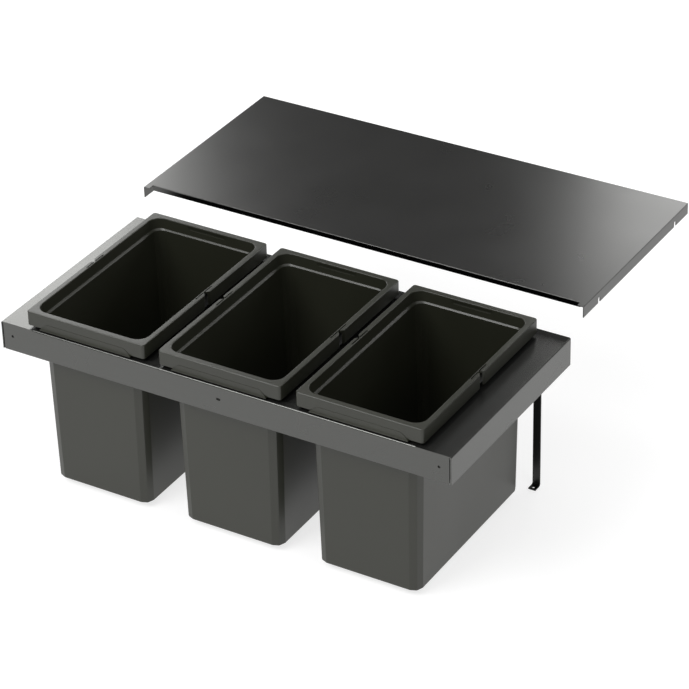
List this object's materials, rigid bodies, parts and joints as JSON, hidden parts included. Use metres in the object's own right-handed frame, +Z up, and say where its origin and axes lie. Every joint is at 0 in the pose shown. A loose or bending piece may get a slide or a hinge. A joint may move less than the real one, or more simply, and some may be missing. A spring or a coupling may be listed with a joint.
{
  "type": "pull-out waste sorting unit",
  "caption": "Folded steel frame for a cabinet drawer with lift-out waste bins side by side, rear support legs and a separate steel cover plate.",
  "frame": {"origin": "middle screw hole of the frame's front face, on the outer side of that face", "axes": "+X to the right across the unit, +Y to the back of the cabinet, +Z up"},
  "size_m": [0.866, 0.838, 0.35],
  "materials": {
    "frame_steel": "satin powder coat, dark grey",
    "cover_steel": "satin metallic coat, dark grey",
    "bin_plastic": "moulded, fine matt grain, olive black",
    "zinc_steel": "zinc plated"
  },
  "bodies": {
    "frame": {"left_rail": "frame_steel", "right_rail": "frame_steel", "front_rail": "frame_steel", "rear_rail": "frame_steel", "left_crossbar": "frame_steel", "right_crossbar": "frame_steel", "front_left_gusset": "frame_steel", "front_right_gusset": "frame_steel", "rear_left_gusset": "frame_steel", "rear_right_gusset": "frame_steel", "left_leg": "frame_steel", "right_leg": "frame_steel", "leg_screws": "zinc_steel", "leg_nuts": "zinc_steel"},
    "left_bin": {"left_bin": "bin_plastic"},
    "middle_bin": {"middle_bin": "bin_plastic"},
    "right_bin": {"right_bin": "bin_plastic"},
    "cover": {"cover_plate": "cover_steel"}
  },
  "joints": [
    {"name": "left_bin_lift", "type": "slide", "parent": "frame", "child": "left_bin", "axis": [0, 0, 1], "range_m": [0, 0.34]},
    {"name": "middle_bin_lift", "type": "slide", "parent": "frame", "child": "middle_bin", "axis": [0, 0, 1], "range_m": [0, 0.34]},
    {"name": "right_bin_lift", "type": "slide", "parent": "frame", "child": "right_bin", "axis": [0, 0, 1], "range_m": [0, 0.34]},
    {"name": "cover_lift", "type": "slide", "parent": "frame", "child": "cover", "axis": [0, 0, 1], "range_m": [0, 0.06]}
  ]
}
